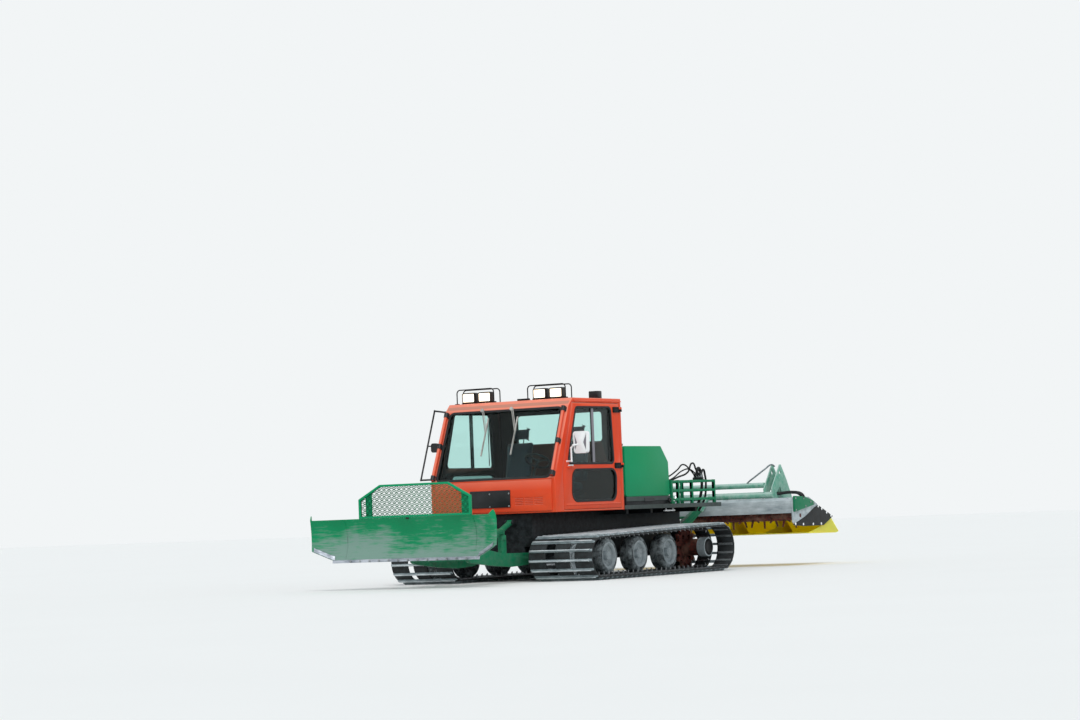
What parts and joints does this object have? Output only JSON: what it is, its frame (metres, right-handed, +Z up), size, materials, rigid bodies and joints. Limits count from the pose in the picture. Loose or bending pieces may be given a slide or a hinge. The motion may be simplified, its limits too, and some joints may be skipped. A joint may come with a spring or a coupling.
{
  "type": "tracked snow groomer",
  "caption": "Tracked snow groomer with a forward cab, a raised front blade with a mesh guard, a covered engine and deck, and a raised rear tiller with a toothed rotor and finisher.",
  "frame": {"origin": "on the ground under the middle of the machine's overall length and width", "axes": "+Z up, -Y forwards along the machine, +X to its left side"},
  "size_m": [3.844, 8.9612, 2.654],
  "materials": {
    "orange_paint": "satin",
    "green_paint": "satin",
    "black_paint": "satin",
    "black_plastic": "matte",
    "window_glass": "clear",
    "seat_fabric": "woven",
    "engine_iron": "rough",
    "lamp_housing": "satin",
    "white_plastic": "gloss",
    "rod_chrome": "polished",
    "bar_steel": "worn",
    "edge_steel": "scuffed",
    "tyre_rubber": "matte",
    "rim_paint": "matte",
    "rust_paint": "rusty",
    "hood_steel": "scuffed",
    "black_rubber": "matte",
    "finisher_plastic": "matte"
  },
  "bodies": {
    "machine": {"hull": "black_paint", "deck": "black_paint", "cab_shell": "orange_paint", "nose_panel": "orange_paint", "nose_grille": "black_plastic", "cab_glass": "window_glass", "dashboard": "black_plastic", "seats": "seat_fabric", "engine_block": "engine_iron", "engine_box": "green_paint", "roof_lamps": "lamp_housing", "lamp_guards": "black_paint", "roof_box": "black_plastic", "wipers": "black_paint", "mirror_right": "black_plastic", "pillar_tubes": "orange_paint", "door_hinges": "black_paint", "deck_rails": "green_paint", "deck_hydraulics": "black_plastic", "track_left": "bar_steel", "track_right": "bar_steel", "tyres_left": "tyre_rubber", "tyres_right": "tyre_rubber", "wheel_rims_left": "rim_paint", "wheel_rims_right": "rim_paint", "sprockets": "rust_paint", "axles": "black_paint"},
    "door_left": {"door_left": "orange_paint", "door_glass_left": "window_glass", "mirror_left": "white_plastic"},
    "door_right": {"door_right": "orange_paint", "door_glass_right": "window_glass"},
    "push_frame": {"push_frame": "green_paint"},
    "blade_lift_barrels": {"blade_lift_barrels": "green_paint"},
    "blade_lift_rods": {"blade_lift_rods": "rod_chrome"},
    "angle_barrel_left": {"angle_barrel_left": "green_paint"},
    "angle_barrel_right": {"angle_barrel_right": "green_paint"},
    "angle_rod_left": {"angle_rod_left": "rod_chrome"},
    "angle_rod_right": {"angle_rod_right": "rod_chrome"},
    "blade": {"blade": "green_paint", "cutting_edge": "edge_steel", "blade_guard": "green_paint"},
    "rear_lift_frame": {"rear_lift_frame": "green_paint"},
    "rear_lift_barrels": {"rear_lift_barrels": "green_paint"},
    "rear_lift_rods": {"rear_lift_rods": "rod_chrome"},
    "tiller": {"tiller_carrier": "green_paint", "tiller_top_tube": "green_paint", "pitch_clevis": "green_paint", "tiller_hood": "hood_steel", "tiller_ends": "hood_steel", "motor_caps": "green_paint", "tiller_guards": "black_rubber"},
    "pitch_barrel": {"pitch_barrel": "green_paint"},
    "pitch_rod": {"pitch_rod": "rod_chrome"},
    "tiller_rotor": {"tiller_rotor": "rust_paint"},
    "finisher": {"finisher": "finisher_plastic"}
  },
  "joints": [
    {"name": "door_left_hinge", "type": "hinge", "parent": "machine", "child": "door_left", "pos_m": [1.016, -0.428, 1.6], "axis": [0, 0, 1], "range_deg": [0, 80]},
    {"name": "door_right_hinge", "type": "hinge", "parent": "machine", "child": "door_right", "pos_m": [-1.016, -0.428, 1.6], "axis": [0, 0, -1], "range_deg": [0, 80]},
    {"name": "blade_lift", "type": "hinge", "parent": "machine", "child": "push_frame", "pos_m": [0, -1.99, 0.33], "axis": [-1, 0, 0], "range_deg": [-9, 12]},
    {"name": "blade_angle", "type": "hinge", "parent": "push_frame", "child": "blade", "pos_m": [0, -3.64, 0.525], "axis": [0, 0, 1], "range_deg": [-20, 20]},
    {"name": "blade_lift_barrels_swing", "type": "hinge", "parent": "machine", "child": "blade_lift_barrels", "pos_m": [0, -2.18, 0.8], "axis": [-1, 0, 0], "range_deg": [-9.11, 12.13]},
    {"name": "blade_lift_rods_stroke", "type": "slide", "parent": "blade_lift_barrels", "child": "blade_lift_rods", "axis": [0, -0.9152, -0.4031], "range_m": [-0.1063, 0.0799]},
    {"name": "angle_barrel_left_swing", "type": "hinge", "parent": "push_frame", "child": "angle_barrel_left", "pos_m": [0.43, -2.68, 0.69], "axis": [0, 0, 1], "range_deg": [-9.37, 9.37]},
    {"name": "angle_rod_left_stroke", "type": "slide", "parent": "angle_barrel_left", "child": "angle_rod_left", "axis": [0.3841, -0.9233, 0], "range_m": [-0.2669, 0.2669]},
    {"name": "angle_barrel_right_swing", "type": "hinge", "parent": "push_frame", "child": "angle_barrel_right", "pos_m": [-0.43, -2.68, 0.69], "axis": [0, 0, 1], "range_deg": [-9.37, 9.37]},
    {"name": "angle_rod_right_stroke", "type": "slide", "parent": "angle_barrel_right", "child": "angle_rod_right", "axis": [-0.3841, -0.9233, 0], "range_m": [-0.2669, 0.2669]},
    {"name": "rear_lift", "type": "hinge", "parent": "machine", "child": "rear_lift_frame", "pos_m": [0, 2.02, 0.56], "axis": [1, 0, 0], "range_deg": [-20, 3]},
    {"name": "rear_lift_barrels_swing", "type": "hinge", "parent": "machine", "child": "rear_lift_barrels", "pos_m": [0, 2.01, 0.8], "axis": [1, 0, 0], "range_deg": [-17.37, 2.65]},
    {"name": "rear_lift_rods_stroke", "type": "slide", "parent": "rear_lift_barrels", "child": "rear_lift_rods", "axis": [0, 0.9869, -0.1613], "range_m": [-0.0124, 0.0799]},
    {"name": "tiller_pitch", "type": "hinge", "parent": "rear_lift_frame", "child": "tiller", "pos_m": [0, 2.8, 0.88], "axis": [1, 0, 0], "range_deg": [-12, 20]},
    {"name": "pitch_barrel_swing", "type": "hinge", "parent": "rear_lift_frame", "child": "pitch_barrel", "pos_m": [0, 2.48, 0.78], "axis": [1, 0, 0], "range_deg": [-6.01, 9.99]},
    {"name": "pitch_rod_stroke", "type": "slide", "parent": "pitch_barrel", "child": "pitch_rod", "axis": [0, 0.795, 0.6066], "range_m": [-0.0455, 0.0275]},
    {"name": "rotor_spin", "type": "hinge", "parent": "tiller", "child": "tiller_rotor", "pos_m": [0, 3.2, 0.735], "axis": [1, 0, 0], "continuous": true},
    {"name": "finisher_flap", "type": "hinge", "parent": "tiller", "child": "finisher", "pos_m": [0, 3.912, 0.722], "axis": [1, 0, 0], "range_deg": [-8, 15]}
  ],
  "couplings": [
    {"joint": "blade_lift_barrels_swing", "follows": "blade_lift", "ratio": 1.007},
    {"joint": "blade_lift_rods_stroke", "follows": "blade_lift", "m_per_rad": -0.5053},
    {"joint": "angle_barrel_left_swing", "follows": "blade_angle", "ratio": 0.4662},
    {"joint": "angle_rod_left_stroke", "follows": "blade_angle", "m_per_rad": -0.7633},
    {"joint": "angle_barrel_right_swing", "follows": "blade_angle", "ratio": 0.4662},
    {"joint": "angle_rod_right_stroke", "follows": "blade_angle", "m_per_rad": 0.7633},
    {"joint": "rear_lift_barrels_swing", "follows": "rear_lift", "ratio": 0.8659},
    {"joint": "rear_lift_rods_stroke", "follows": "rear_lift", "m_per_rad": -0.2274},
    {"joint": "pitch_barrel_swing", "follows": "tiller_pitch", "ratio": 0.4969},
    {"joint": "pitch_rod_stroke", "follows": "tiller_pitch", "m_per_rad": -0.129}
  ]
}
